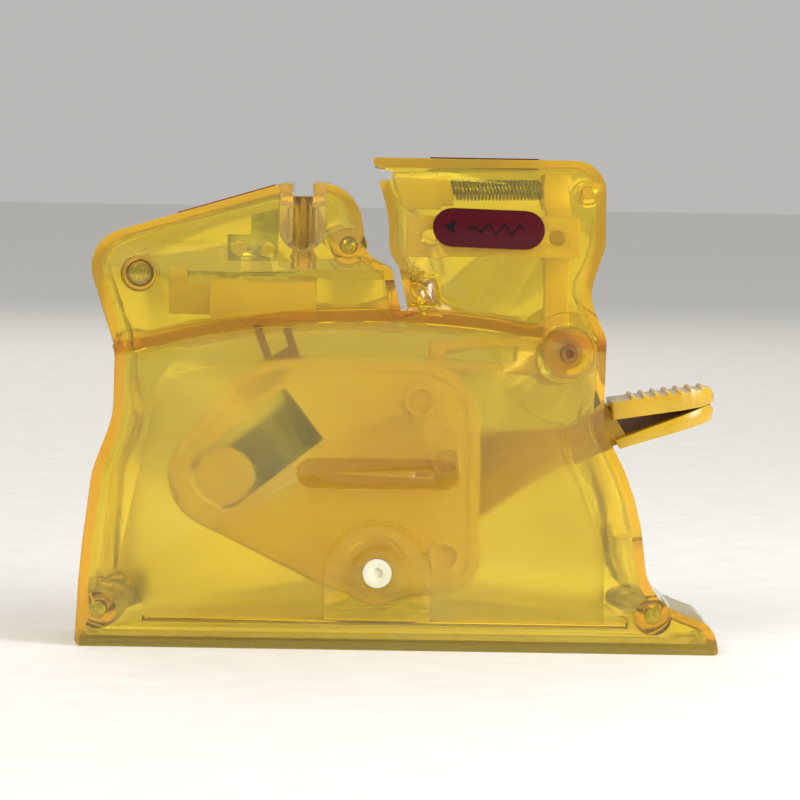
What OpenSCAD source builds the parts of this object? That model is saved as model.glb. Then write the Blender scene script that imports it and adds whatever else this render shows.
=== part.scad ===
// Desk needle threader: a translucent moulded case with a press lever. A needle is dropped into the
// funnel on the left, the thread is laid in the slit, and one press of the lever sends a fine steel
// hook through the needle's eye to fetch the thread.
// Frame: +X to the lever, +Y to the back, +Z up. Origin on the resting plane, at the middle of the case.

/* [Case] */
// Length of the foot, from end to end
case_length = 78.2; // [76:0.1:96]
// Height of the case above the table
case_height = 59.6; // [58:0.1:72]
// Depth of the lower compartment, front to back
body_depth = 17; // [16.6:0.1:24]
// Depth of the nose and the head, front to back
upper_depth = 12; // [11.6:0.1:14.4]
// Wall of the two shells
wall = 1.2; // [0.9:0.05:1.5]
// Wall of the curved step between body and upper part
step_wall = 1.5; // [1:0.05:1.8]
// Radius of the curved step, seen from the front
step_radius = 109; // [90:1:135]
// Width of the thread slit between nose and head
slit_width = 0.9; // [0.6:0.05:1.2]
// How far the rim along the foot stands proud
foot_lip = 0.4; // [0.2:0.05:0.6]

/* [Lever] */
// Radius of the main pivot pin
pivot_radius = 1.85; // [1.4:0.05:2.3]
// Angle that the lever is pressed through, in degrees
lever_stroke = 20; // [12:1:20]
// Depth of the thumb pad, front to back
pad_depth = 11; // [8:0.1:14]
// Depth of the lever's arm where it leaves the case
arm_depth = 6; // [4:0.1:7.4]
// Number of grip ribs across the thumb pad
grip_ribs = 7; // [4:1:9]

/* [Threading] */
// Radius of the bore that takes the needle
needle_bore_radius = 0.75; // [0.6:0.05:1]
// Outer radius of the needle tube
tube_radius = 1.7; // [1.4:0.05:1.9]
// Thickness of the threading hook
hook_thickness = 0.25; // [0.15:0.01:0.35]
// Height of the threading hook's blade
hook_height = 0.9; // [0.6:0.05:1]

/* [Springs] */
// Outer radius of the lever's return spring
return_spring_radius = 3.7; // [3:0.1:3.8]
// Wire diameter of the return spring
return_wire = 0.55; // [0.4:0.05:0.6]
// Number of coils of the return spring
return_coils = 6; // [4:1:7]
// Outer radius of the thread clamp's spring
clamp_spring_radius = 1.5; // [1.3:0.05:1.7]
// Wire diameter of the clamp's spring
clamp_wire = 0.35; // [0.25:0.05:0.4]
// Number of coils of the clamp's spring
clamp_coils = 18; // [10:1:20]

/* [Fits and fasteners] */
// Radial clearance of a running fit
running_gap = 0.05; // [0.02:0.01:0.08]
// Gap between pieces that pass each other
pass_gap = 0.3; // [0.2:0.05:0.4]
// Radius of a case screw's shank
screw_radius = 1; // [0.8:0.05:1.2]
// Radius of a case screw's head
screw_head_radius = 1.6; // [1.4:0.05:1.75]
// Thickness of the printed labels
label_thickness = 0.12; // [0.08:0.01:0.2]

/* [Hidden] */
$fn = 48;
seat_gap = 0.02;                 // round a piece that is pressed or glued in
half_length = case_length / 2;
body_half = body_depth / 2;
upper_half = upper_depth / 2;
body_in = body_half - wall;      // inner face of the lower compartment
upper_in = upper_half - wall;    // inner face of nose and head

// Places in the front view, as [x, z]
pivot_at = [-2.5, 9.3];
boss_at = [20.2, 36.3];
needle_x = -12.2;
hook_z = 45.4;
clamp_z = 55.7;
step_centre = [-3, 41.25 - step_radius];
boss_reach = 5;                  // the deep body's outline goes round the bracket pin at this radius

// ---- outline of the case: corners as [x, z, radius], clockwise seen from the front ----
slit_top = [-1.3, 46.1];
slit_foot = [-0.2, 41.2];
notch_half = 1.25;
notch_z = 54.7;
lip_z = 56.3;
nose_low = [-38.9, 49];
nose_high = [-14.6, lip_z];
case_corners = [
    [-half_length, 0, 0.8],
    [-38.6, 10, 60],
    [-37.2, 21.3, 10],
    [-34.7, 27.9, 10],
    [-34.6, 35.6, 3],
    [nose_low[0], nose_low[1], 4.6],
    [nose_high[0], nose_high[1], 2],
    [-5.6, 56.6, 5.2],
    [-4.5, 48, 2],
    [slit_top[0], slit_top[1], 0.5],
    [slit_foot[0], slit_foot[1], 0],
    [slit_foot[0] + slit_width, slit_foot[1], 0],
    [slit_top[0] + slit_width, slit_top[1] + 0.1, 0.8],
    [-1.65, 48.3, 2],
    [-1.75, 52.5, 12],
    [-3.9, case_height, 0.4],
    [24.5, case_height, 3.8],
    [24.5, 49.2, 4],
    [22.6, 43.2, 5],
    [24.75, 38.2, 4],
    [24.5, 27.33, 3],
    [29.3, 19.02, 32],
    [30.2, 6.5, 7],
    [half_length - 0.7, 3.5, 3],
    [half_length, 0, 0.4],
];

function unit(v) = v / norm(v);
function xz(p) = [p[0], p[1]];
function cross2(a, b) = a[0] * b[1] - a[1] * b[0];
function polar(centre, r, a) = centre + r * [cos(a), sin(a)];
function arc_points(centre, r, from, to, n) = [for (i = [0:n]) polar(centre, r, from + (to - from) * i / n)];

// The points of one rounded corner between its two neighbours
function corner_points(a, p, b) =
    let (u = unit(xz(a) - xz(p)), v = unit(xz(b) - xz(p)), half = acos(u * v) / 2)
    p[2] < 0.05 ? [xz(p)] :
    let (
        r = p[2],
        centre = xz(p) + unit(u + v) * r / sin(half),
        start = xz(p) + u * r / tan(half) - centre,
        sweep = 180 - 2 * half,
        n = max(1, ceil(sweep / (24 / sqrt(r) + 3))),
        way = cross2(u, v) > 0 ? -1 : 1,
        from = atan2(start[1], start[0])
    )
    arc_points(centre, r, from, from + way * sweep, n);

function rounded(corners) =
    let (n = len(corners))
    [for (i = [0:n - 1])
        each corner_points(corners[(i + n - 1) % n], corners[i], corners[(i + 1) % n])];

// The same corners moved inwards by d, with each radius changed so that the curves stay parallel
function inset(corners, d) =
    let (n = len(corners))
    [for (i = [0:n - 1])
        let (
            p = xz(corners[i]),
            before = unit(p - xz(corners[(i + n - 1) % n])),
            after = unit(xz(corners[(i + 1) % n]) - p),
            side = [before[1] + after[1], -before[0] - after[0]],
            q = p + side * d / (1 + before * after),
            r = corners[i][2]
        )
        [q[0], q[1], cross2(before, after) > 0 ? r + d : max(0, r - d)]];

// ---- building blocks: drawn in the front view and given their depth along Y ----
module slab(y0, y1) {
    translate([0, y1, 0]) rotate([90, 0, 0]) linear_extrude(y1 - y0) children();
}
module rod(at, r, y0, y1) {
    translate([at[0], y1, at[1]]) rotate([90, 0, 0]) cylinder(r = r, h = y1 - y0);
}
module tube(at, r, bore, y0, y1) {
    difference() {
        rod(at, r, y0, y1);
        rod(at, bore, y0 - 1, y1 + 1);
    }
}
module box(low, high) {
    translate(low) cube(high - low);
}
module outline(corners) {
    polygon(rounded(corners));
}
module capsule(a, b, r) {
    way = atan2(b[1] - a[1], b[0] - a[0]);
    polygon(concat(arc_points(b, r, way - 90, way + 90, 10), arc_points(a, r, way + 90, way + 270, 10)));
}
// A steel wire wound round the Z axis, with its first and last turn closed
function helix_point(t, turns, r, pitch_length) =
    [r * cos(360 * t), r * sin(360 * t), pitch_length * max(0, min(1, (t - 0.6) / (turns - 1.2)))];
module coil(r, wire, turns, length, steps) {
    n = turns * steps;
    rise = length - wire;
    rings = [for (i = [0:n], j = [0:5])
        let (p = helix_point(i / steps, turns, r - wire / 2, rise), a = 360 * i / steps)
        p + wire / 2 * [cos(60 * j) * cos(a), cos(60 * j) * sin(a), sin(60 * j) + 1]];
    sides = [for (i = [0:n - 1], j = [0:5])
        let (k = 6 * i + j, m = 6 * i + (j + 1) % 6)
        each [[k, k + 6, m], [m, k + 6, m + 6]]];
    ends = [[0, 1, 2], [0, 2, 3], [0, 3, 4], [0, 4, 5],
        for (q = [[2, 1], [3, 2], [4, 3], [5, 4]]) [6 * n, 6 * n + q[0], 6 * n + q[1]]];
    polyhedron(rings, concat(sides, ends));
}

// ---- shells ----
panel_depth = 0.25;
panel_bottom = 3.5;
panel_right = 27.45;             // the panel's right edge follows the lever's path round the pivot
arch_radius = 6.4;
ring_out = 4.4;
ring_in = 3.1;
emblem_at = [-2.6, 21.4];
emblem_half = 8.05;
emblem_radius = 1.85;
screw_places = [[-32, 45.1], [-6.6, 48.8], [-36.4, 4.2], [31.1, 4.4]];
pin_places = [[1.7, 43.1], [22.3, 55.6]];
pin_radius = 0.7;
pin_post = 1.25;
post_radius = 2.25;
counterbore = 1.4;
spacer_places = [[2.4, 30.4], [5.7, 23.1], [5.6, 11.3]];
spacer_radius = 1.95;
plate_front = -body_in + 1;      // front face of the mechanism plate
plate_back = plate_front + 1.2;
peg_places = [[-19.9, 48.4], [-16.5, 48.3], [3.2, 50.1], [18.6, 50.1]];
peg_radius = 0.9;
boss_radius = 2.95;
boss_pin_radius = 1.1;
boss_proud = foot_lip;
lever_high = 37.2;               // angles of the lever's upper and lower edge, seen from the pivot
lever_low = 28.4;

function is_low(p) = p[1] < 30;
function outer_at(p) = is_low(p) ? body_half : upper_half;

panel_outline = concat(
    arc_points(step_centre, step_radius - 5.25, 104.6, 81.8, 12),
    arc_points(boss_at, 8.4, 186.5, 268, 7),
    [[20.2, 25.3]],
    arc_points(pivot_at, panel_right, 33.5, 2, 6),
    [[25, panel_bottom], [-30.4, panel_bottom]],
    arc_points([-36.4, 4.2], 5.6, -3, 66, 5)
);

// Everything above the curved step, between two depths
module above_step(inset_by, y0, y1) {
    difference() {
        box([-60, y0, 20], [60, y1, 90]);
        rod(step_centre, step_radius - inset_by, y0 - 1, y1 + 1);
        rod(boss_at, boss_reach - inset_by, y0 - 1, y1 + 1);
    }
}

// The front half of the case without its own details, from the parting plane forwards
module plain_half() {
    difference() {
        union() {
            difference() {
                slab(-body_half, 0) outline(case_corners);
                above_step(0, -body_half - 1, -upper_half);
            }
            box([-half_length + 0.6, -body_half - foot_lip, 0], [half_length - 0.6, -1, 1.3]);
        }
        difference() {
            slab(-body_in, 1) outline(inset(case_corners, wall));
            above_step(step_wall, -body_in - 1, -upper_in);
            box([needle_x - notch_half - wall, -20, notch_z - wall], [needle_x + notch_half + wall, 20, 80]);
        }
        box([needle_x - notch_half, -20, notch_z], [needle_x + notch_half, 20, 80]);
        // the lever's way through the right-hand wall
        slab(-arm_depth / 2 - pass_gap, 1) polygon(concat(
            arc_points(pivot_at, 29.5, lever_low - lever_stroke - 0.8, lever_high + 0.8, 6),
            arc_points(pivot_at, 42, lever_high + 0.8, lever_low - lever_stroke - 0.8, 6)
        ));
        // the hook's way into the slit
        box([-4.5, -0.45, hook_z - 0.75], [-0.9, 1, hook_z + 0.75]);
        // the needle's way in
        translate([needle_x, 0, 50]) cylinder(r = tube_radius + seat_gap, h = 5);
        // the thread's way to the cutter
        slab(-upper_half - 1, 1) polygon([[-5, 58.93], [-1.4, 57.9], [-1.4, 56.9], [-4.6, 56.6]]);
    }
}

module front_shell() {
    color([0.93, 0.74, 0.13, 0.6]) difference() {
        union() {
            plain_half();
            for (p = screw_places) rod(p, post_radius, 0.3 - outer_at(p), 0);
            for (p = pin_places) rod(p, pin_post, 0.3 - upper_half, 0);
            for (p = peg_places) rod(p, peg_radius, 0.3 - upper_half, 2.1 - upper_in);
            rod(boss_at, boss_radius, -body_half - boss_proud, -arm_depth / 2 - 0.15);
            box([-31, 0.3 - body_half, 2.9], [28, -2.5, 3.7]);
        }
        // frosted panel, with the arch round the pivot left standing
        difference() {
            slab(-body_half - 1, -body_half + panel_depth) polygon(panel_outline);
            slab(-body_half - 2, 0) polygon(concat(arc_points(pivot_at, arch_radius, 0, 180, 16),
                [[pivot_at[0] - arch_radius, 2], [pivot_at[0] + arch_radius, 2]]));
        }
        tube(pivot_at, ring_out, ring_in, -body_half - 1, -body_half + 0.45);
        rod(pivot_at, pivot_radius + seat_gap, -body_half - 1, 0);
        rod(boss_at, boss_pin_radius + seat_gap, -body_half - 1, 0);
        rod(boss_at, 1.9, -body_half - 1, -body_half - boss_proud + 0.35);
        // recessed field, with a plain needle standing in it
        translate([emblem_at[0], 0, emblem_at[1]]) difference() {
            slab(-body_half - 1, -body_half + 0.7) capsule([-emblem_half, 0], [emblem_half, 0], emblem_radius);
            difference() {
                slab(-body_half, 0)
                    polygon([[-7.4, 0], [3.4, 0.42], [6.4, 0.62], [7, 0], [6.4, -0.62], [3.4, -0.42]]);
                slab(-body_half - 2, 1) capsule([4.8, 0], [6.1, 0], 0.26);
            }
            slab(-body_half - 2, -body_half + 0.45) square([30, 10], center = true);
        }
        // the emblem field's rim, down to the top of the needle
        translate([emblem_at[0], 0, emblem_at[1]])
            slab(-body_half - 1, -body_half + 0.45) capsule([-emblem_half, 0], [emblem_half, 0], emblem_radius);
        // rings and pockets over the posts
        tube(screw_places[0], 2.2, 1.35, -upper_half - 1, -upper_half + 0.4);
        rod(screw_places[1], 1.3, -upper_half - 1, -upper_half + 0.5);
        difference() {
            box([0.9, -upper_half - 1, 41.6], [4.7, -upper_half + 0.4, 45.5]);
            rod(pin_places[0], 1.2, -upper_half - 2, 0);
        }
        // thread channel across the nose
        slab(-upper_half - 1, -upper_half + 0.6) capsule([-19.2, hook_z], [2, hook_z], 0.6);
        slab(-upper_half - 1, -upper_in + 0.8)
            polygon(concat(arc_points([needle_x, funnel_foot + funnel_half], funnel_half, 180, 360, 14),
                [[needle_x + funnel_half, 60], [needle_x - funnel_half, 60]]));
        for (p = screw_places) rod(p, screw_radius + seat_gap, 2 - outer_at(p), 1);
        for (p = pin_places) rod(p, pin_radius + seat_gap, -2.2, 1);
    }
}

module rear_shell() {
    color([0.91, 0.7, 0.11, 0.6]) {
        difference() {
            mirror([0, 1, 0]) union() {
                plain_half();
                for (p = screw_places) rod(p, post_radius, 0.3 - outer_at(p), 0);
                for (p = pin_places) rod(p, pin_post, 0.3 - upper_half, 0);
                box([-31, 0.3 - body_half, 2.9], [28, -2.5, 3.7]);
            }
            for (p = screw_places) rod(p, screw_radius + 0.15, -1, outer_at(p) + 1);
            for (p = screw_places) rod(p, screw_head_radius + 0.15, outer_at(p) - counterbore, outer_at(p) + 1);
            rod(pivot_at, pivot_radius + seat_gap, 0, body_half + 1);
            rod(boss_at, boss_pin_radius + seat_gap, 0, body_half + 1);
        }
        for (p = pin_places) rod(p, pin_radius, -2, 1);
    }
}

// ---- fixed pieces inside the lower compartment ----
spring_tilt = 37.8;              // the return spring's axis, tangent to a circle round the pivot
spring_offset = 21;
spring_rest = [-7.08, 4.63];     // its two ends along the axis, from the tangent point
disc_along = -8.4;
disc_radius = 3.7;

// Draws in the spring's own front view: x along its axis, y away from the pivot
module along_spring() {
    translate([pivot_at[0], 0, pivot_at[1]]) rotate([0, -spring_tilt, 0]) translate([0, 0, spring_offset]) children();
}

plate_corners = [[-18.2, 35.3, 9], [10, 35.3, 8], [10, 7.6, 4.5], [-3.1, 4.75, 4.4], [-32.5, 18.4, 6.5]];

module mechanism_plate() {
    color([0.88, 0.68, 0.1]) difference() {
        union() {
            slab(plate_front, plate_back) outline(plate_corners);
            slab(plate_front - 0.3, plate_front) difference() {
                outline(inset(plate_corners, 0.4));
                outline(inset(plate_corners, 1.3));
            }
            // spacers that rest on the inside of the front shell
            for (p = spacer_places) rod(p, spacer_radius, seat_gap - body_in, plate_front + 0.1);
            // the wall that the return spring pushes against
            along_spring()
                box([spring_rest[1] + 0.02, plate_back - 0.3, -4.2], [spring_rest[1] + 1.5, 3.6, 4.2]);
        }
        along_spring() slab(plate_front - 2, plate_back + 1) polygon(concat(
            arc_points([disc_along, 0], disc_radius + 0.3, 75, 285, 14),
            [[spring_rest[1], -3.85], [spring_rest[1], 3.85]]
        ));
        for (p = spacer_places) rod(p, spacer_radius - 0.5, plate_front - 2, plate_front);
        rod(pivot_at, pivot_radius + seat_gap, plate_front - 2, plate_back + 1);
    }
}

module main_pivot() {
    color([0.94, 0.94, 0.85]) difference() {
        rod(pivot_at, pivot_radius, -body_half + 0.1, body_half - 0.1);
        rod(pivot_at, 0.6, -body_half - 1, -body_half + 0.35);
    }
}

module bracket_pin() {
    color([0.5, 0.3, 0.12]) difference() {
        rod(boss_at, boss_pin_radius, -body_half - boss_proud + 0.3, body_half - 0.2);
        rod(boss_at, 0.5, -body_half - boss_proud - 1, -body_half - boss_proud + 0.7);
    }
}

// ---- lever, with everything that turns with it ----
fork_height = 32;                // the drive pin's height above the main pivot
fork_lean = 24.3;                // how far the fork leans to the left at rest
fork_gap = 0.35;
drive_radius = 0.8;
fork_half = drive_radius + fork_gap + 1;
seat_front = spring_rest[0] - 0.02;

module lever_fork() {
    translate([pivot_at[0], 0, pivot_at[1]]) rotate([0, -fork_lean, 0]) difference() {
        union() {
            box([-fork_half, 4.2, 0], [fork_half, 6.6, 28.6]);
            box([-fork_half, 1.5, 26.6], [fork_half, 6.6, 28.8]);
            box([-fork_half, 1.5, 26.6], [fork_half, 3.9, 35.9]);
        }
        box([-drive_radius - fork_gap, 0, 30.6], [drive_radius + fork_gap, 5, 40]);
    }
}

pad_inner = 33.1;                // the pad starts outside the case's wall, seen from the pivot
module thumb_pad() {
    // side view and top view of the pad, crossed
    intersection() {
        union() {
            slab(-10, 10)
                polygon([[25.6, 30.3], [37.9, 32.1], [38.5, 31.2], [38.4, 30.4], [36.8, 29.9], [25.8, 28.2]]);
            slab(-10, 10) polygon([[25.8, 24.4], [38.1, 28.2], [38.4, 29.6], [37.6, 30.1], [26, 25.6]]);
            slab(-1, 1) polygon([[24, 24.4], [38.1, 28.8], [38, 31.2], [24, 29.2]]);
            for (i = [0:grip_ribs - 1])
                let (x = 28.4 + 8.6 * i / (grip_ribs - 1), z = 30.3 + (x - 25.6) * 0.1463)
                rod_across([x, z], 0.34);
        }
        translate([0, 0, 20]) linear_extrude(20) polygon(concat(
            arc_points([38.6 - pad_depth / 2, 0], pad_depth / 2, -90, 90, 14),
            [[25.6, pad_depth / 2], [25.6, -pad_depth / 2]]
        ));
    }
}
module rod_across(at, r) {
    rod(at, r, -pad_depth, pad_depth);
}

module lever() {
    color([0.85, 0.63, 0.05]) difference() {
        union() {
            rod(pivot_at, 4.2, plate_back + 0.3, body_in - 0.4);
            slab(-arm_depth / 2, arm_depth / 2) polygon([
                [-2.5, 13], [8, 27.2], polar(pivot_at, 30, lever_high), polar(pivot_at, 34.6, lever_high),
                polar(pivot_at, 34.6, lever_low), polar(pivot_at, 30, lever_low),
                [18.5, 21.2], [11, 16], [0.5, 7.5]
            ]);
            difference() {
                thumb_pad();
                rod(pivot_at, pad_inner, -10, 10);
            }
            lever_fork();
            along_spring() {
                box([-11.4, -3.4, -4.4], [seat_front, 3.4, 4]);
                slab(-3.4, 3.4) polygon([[-11.2, -3], [seat_front, -4.3], [2.4, -20], [-2.4, -21]]);
            }
        }
        rod(pivot_at, pivot_radius + running_gap, -9, 9);
        along_spring() rod([disc_along, 0], 0.9 + seat_gap, -5, 5);
    }
}

module spring_seat() {
    color([0.84, 0.62, 0.08]) along_spring() {
        rod([disc_along, 0], 0.9, -4, 3.4);
        difference() {
            rod([disc_along, 0], disc_radius, -4.8, -3.98);
            rod([disc_along, 0], 2, -6, -4.55);
        }
    }
}

module return_spring() {
    color([0.42, 0.37, 0.23]) along_spring() translate([spring_rest[0], 0, 0]) rotate([0, 90, 0])
        coil(return_spring_radius, return_wire, return_coils, spring_rest[1] - spring_rest[0], 20);
}

// ---- threading hook and its slide ----
slide_x = pivot_at[0] - fork_height * tan(fork_lean) + 0.13;
drive_z = pivot_at[1] + fork_height;
slide_left = slide_x - 11.7;

module hook_slide() {
    color([0.9, 0.82, 0.5]) difference() {
        union() {
            box([slide_left, -1, drive_z - 1.3], [slide_x + 0.9, 1, drive_z + 2.6]);
            box([slide_left, -0.7, drive_z + 2.5], [slide_left + 2.2, 0.7, hook_z + 0.6]);
            rod([slide_x, drive_z], drive_radius, 0.5, 3.7);
        }
        box([slide_left + 0.8, -hook_thickness / 2 - seat_gap, hook_z - hook_height / 2 - seat_gap],
            [slide_left + 5, hook_thickness / 2 + seat_gap, hook_z + 2]);
    }
}

hook_tip = needle_x - needle_bore_radius;
module threading_hook() {
    color([0.75, 0.76, 0.78]) slab(-hook_thickness / 2, hook_thickness / 2) difference() {
        polygon([
            [slide_left + 0.82, hook_z - hook_height / 2], [hook_tip - 3, hook_z - hook_height / 2],
            [hook_tip - 0.6, hook_z - 0.22], [hook_tip, hook_z - 0.1], [hook_tip, hook_z + 0.12],
            [hook_tip - 0.6, hook_z + 0.22], [hook_tip - 3, hook_z + hook_height / 2],
            [slide_left + 0.82, hook_z + hook_height / 2]
        ]);
        polygon([[hook_tip - 0.35, hook_z + 1], [hook_tip - 0.35, hook_z], [hook_tip - 1, hook_z],
            [hook_tip - 1.2, hook_z + 1]]);
    }
}

module hook_guide() {
    color([0.87, 0.74, 0.3]) {
        box([-23.3, -upper_in + 0.02, 39.7], [-10.5, -1.4, 44.3]);
        box([-23.3, -upper_in + 0.02, 42.9], [-10.5, -1.9, 44.4]);
        box([-14, -2, hook_z - hook_height / 2 - 0.6], [-10.5, 1.2, hook_z - hook_height / 2 - 0.15]);
        box([-23.3, -1.6, drive_z - 2.1], [-10.5, 1.2, drive_z - 1.6]);
    }
}

// ---- needle funnel ----
funnel_half = 2.85;
funnel_foot = 48.1;
module needle_tube() {
    color([0.5, 0.5, 0.48]) difference() {
        union() {
            slab(-upper_half, -upper_in + 0.78) polygon(concat(
                arc_points([needle_x, funnel_foot + funnel_half], funnel_half - seat_gap, 180, 360, 14),
                [[needle_x + funnel_half - seat_gap, lip_z], [needle_x - funnel_half + seat_gap, lip_z]]
            ));
            box([needle_x - 1.9, -upper_in + 0.7, 48.6], [needle_x + 1.9, -0.5, 53.2]);
            translate([needle_x, 0, 46.2]) cylinder(r = tube_radius, h = notch_z - 46.2);
        }
        slab(-upper_half - 1, -1.4) polygon(concat(
            arc_points([needle_x, 49.5], 1.2, 180, 360, 8), [[needle_x + 1.2, 60], [needle_x - 1.2, 60]]
        ));
        translate([needle_x, 0, 45]) cylinder(r = needle_bore_radius, h = 12);
        translate([needle_x, 0, notch_z - 1.2]) cylinder(r1 = needle_bore_radius, r2 = 1.4, h = 1.3);
    }
}

module needle_guide_plate() {
    color([0.6, 0.64, 0.68]) difference() {
        slab(-upper_in + 0.02, -upper_in + 0.42)
            polygon([[-21.3, 46.9], [-15.3, 46.9], [-15.3, 53.3], [-18.5, 52.4], [-18.5, 50], [-21.3, 50]]);
        for (i = [0, 1]) rod(peg_places[i], peg_radius + seat_gap, -upper_half, 0);
    }
}

// ---- head: rail plate, bracket, thread clamp and cutter ----
module head_frame() {
    color([0.8, 0.62, 0.14]) difference() {
        union() {
            box([0.4, -upper_in + 0.3, 47.7], [21.4, -upper_in + 1.7, 52.6]);
            box([0.6, -upper_in + 1.6, 52], [16, -2.8, 52.6]);
        }
        for (i = [2, 3]) rod(peg_places[i], peg_radius + seat_gap, -upper_half, 0);
    }
}

module head_bracket() {
    color([0.86, 0.66, 0.12]) difference() {
        union() {
            box([3.5, -2.2, 34.4], [20.2, 2.2, 38.2]);
            box([17.3, -2.2, 34.4], [20.4, 2.2, 58]);
            rod(boss_at, 2.6, -2.2, 2.2);
        }
        rod(boss_at, boss_pin_radius + seat_gap, -3, 3);
        translate([15, 0, clamp_z]) rotate([0, 90, 0]) cylinder(r = 0.7 + 0.1, h = 8);
        box([5.5, -3, 35.5], [15, 3, 37.2]);
    }
}

clamp_seat = 6.1;
module thread_clamp() {
    color([0.9, 0.78, 0.4]) {
        slab(-2.4, 2.4) polygon([[-0.9, 57.6], [-0.5, 58], [4.6, 58], [4.6, 53.3], [0, 53.3], [-0.5, 54]]);
        box([4.5, -1.9, 53.7], [clamp_seat, 1.9, 57.7]);
        translate([clamp_seat - 0.5, 0, clamp_z]) rotate([0, 90, 0]) cylinder(r = 0.7, h = 13);
    }
}

module clamp_spring() {
    color([0.6, 0.6, 0.58]) translate([clamp_seat + 0.02, 0, clamp_z]) rotate([0, 90, 0])
        coil(clamp_spring_radius, clamp_wire, clamp_coils, 17.28 - clamp_seat - 0.02, 14);
}

module cutter_blade() {
    color([0.8, 0.82, 0.84]) slab(-4.2, 4.2)
        polygon([[-3.75, 58.3], [-3.55, 58.51], [-2.3, 58.145], [-2.3, 57.85]]);
}

// ---- labels ----
module head_label() {
    color([0.29, 0, 0.06]) translate([10.35, 0, 51.2]) rotate([0, 1.5, 0])
        slab(-upper_half - label_thickness, -upper_half) capsule([-4.45, 0], [4.45, 0], 2.35);
}
module nose_label() {
    slope = atan2(nose_high[1] - nose_low[1], nose_high[0] - nose_low[0]);
    color([0.33, 0.05, 0.05]) translate([nose_low[0], 0, nose_low[1]]) rotate([0, -slope, 0])
        box([12, -3.6, 0], [24.2, 3.6, label_thickness]);
}
module top_label() {
    color([0.25, 0.03, 0.06]) box([3.2, -3.6, case_height], [16.4, 3.6, case_height + label_thickness]);
}

// ---- screws, driven in from the back ----
module case_screw(i) {
    p = screw_places[i];
    o = outer_at(p);
    color([0.75, 0.76, 0.77]) difference() {
        union() {
            rod(p, screw_radius, 2.1 - o, o - counterbore + 0.5);
            rod(p, screw_head_radius, o - counterbore, o - 0.35);
        }
        for (a = [0, 90]) translate([p[0], o, p[1]]) rotate([0, a, 0]) cube([2, 1.9, 0.4], center = true);
    }
}
module screw_nose_left() { case_screw(0); }
module screw_nose_right() { case_screw(1); }
module screw_foot_left() { case_screw(2); }
module screw_foot_right() { case_screw(3); }

front_shell();
rear_shell();
mechanism_plate();
main_pivot();
bracket_pin();
lever();
spring_seat();
return_spring();
hook_slide();
threading_hook();
hook_guide();
needle_tube();
needle_guide_plate();
head_frame();
head_bracket();
thread_clamp();
clamp_spring();
cutter_blade();
head_label();
nose_label();
top_label();
screw_nose_left();
screw_nose_right();
screw_foot_left();
screw_foot_right();
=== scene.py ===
import bpy
import math
from mathutils import Vector, Matrix


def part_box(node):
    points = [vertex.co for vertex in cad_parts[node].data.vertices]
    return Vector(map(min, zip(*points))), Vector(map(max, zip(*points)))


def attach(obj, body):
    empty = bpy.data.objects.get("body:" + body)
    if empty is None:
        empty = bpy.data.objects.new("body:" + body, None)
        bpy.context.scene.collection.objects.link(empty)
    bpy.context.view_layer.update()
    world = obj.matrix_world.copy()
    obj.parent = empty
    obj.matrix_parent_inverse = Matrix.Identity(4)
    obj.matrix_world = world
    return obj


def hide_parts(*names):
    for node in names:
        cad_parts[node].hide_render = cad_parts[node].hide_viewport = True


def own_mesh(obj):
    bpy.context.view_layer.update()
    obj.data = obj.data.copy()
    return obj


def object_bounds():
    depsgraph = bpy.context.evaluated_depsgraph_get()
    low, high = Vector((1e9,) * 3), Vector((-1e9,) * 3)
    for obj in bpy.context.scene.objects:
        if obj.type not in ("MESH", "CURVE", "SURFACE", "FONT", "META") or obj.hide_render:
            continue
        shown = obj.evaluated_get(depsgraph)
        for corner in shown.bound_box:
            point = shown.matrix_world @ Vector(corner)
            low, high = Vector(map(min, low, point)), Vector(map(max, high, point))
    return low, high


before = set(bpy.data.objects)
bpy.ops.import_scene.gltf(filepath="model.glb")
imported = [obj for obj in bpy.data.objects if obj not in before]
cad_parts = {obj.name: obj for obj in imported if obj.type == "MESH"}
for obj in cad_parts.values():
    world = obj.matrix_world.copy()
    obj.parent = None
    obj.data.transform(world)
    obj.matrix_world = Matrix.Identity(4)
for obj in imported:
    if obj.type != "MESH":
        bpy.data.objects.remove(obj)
bpy.context.scene.view_settings.view_transform = 'Standard'   # shows a strong yellow as it is, unsoftened
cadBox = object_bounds()
bpy.ops.object.select_all(action='DESELECT')   # the frame comes in selected
mm = 0.001
weldGap = 0.003        # mm between points that are one
flatTurn = 1.5         # degrees up to which neighbouring triangles are one face
flatFacing = 0.95      # a face looks to the front or back when its normal's Y is past this
wallFacing = 0.2       # and it is a wall when its normal's Y is below this
thinnestRim = 0.9      # mm of wall below which a plate's rim stays sharp


# ---------- small tools used by every piece ----------

def pickOnly(obj):
    bpy.ops.object.select_all(action='DESELECT')
    obj.hide_set(False)
    obj.select_set(True)
    bpy.context.view_layer.objects.active = obj


def openAll():
    # into edit mode with the whole mesh selected
    bpy.ops.object.mode_set(mode='EDIT')
    bpy.ops.mesh.select_all(action='SELECT')


def mergeCopy(nodeName, pieceName):
    # the CAD body's own shape, welded and cleared of its triangles, ready for edge work
    pickOnly(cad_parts[nodeName])
    bpy.ops.object.duplicate()
    piece = bpy.context.active_object
    piece.name = pieceName
    piece.data.name = pieceName
    openAll()
    bpy.ops.mesh.remove_doubles(threshold=weldGap * mm)
    bpy.ops.mesh.dissolve_limited(angle_limit=math.radians(flatTurn))
    bpy.ops.mesh.vert_connect_concave()     # no face wraps round a hole, so bevels stay clean
    bpy.ops.mesh.select_all(action='DESELECT')
    bpy.ops.object.mode_set(mode='OBJECT')
    return piece


def wallFaces(mesh):
    # for each edge, the faces that meet in it
    found = {}
    for face in mesh.polygons:
        for key in face.edge_keys:
            found.setdefault(key, []).append(face.index)
    return found


def faceReach(mesh, face, axis):
    values = [mesh.vertices[i].co[axis] for i in face.vertices]
    return max(values) - min(values)


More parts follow.
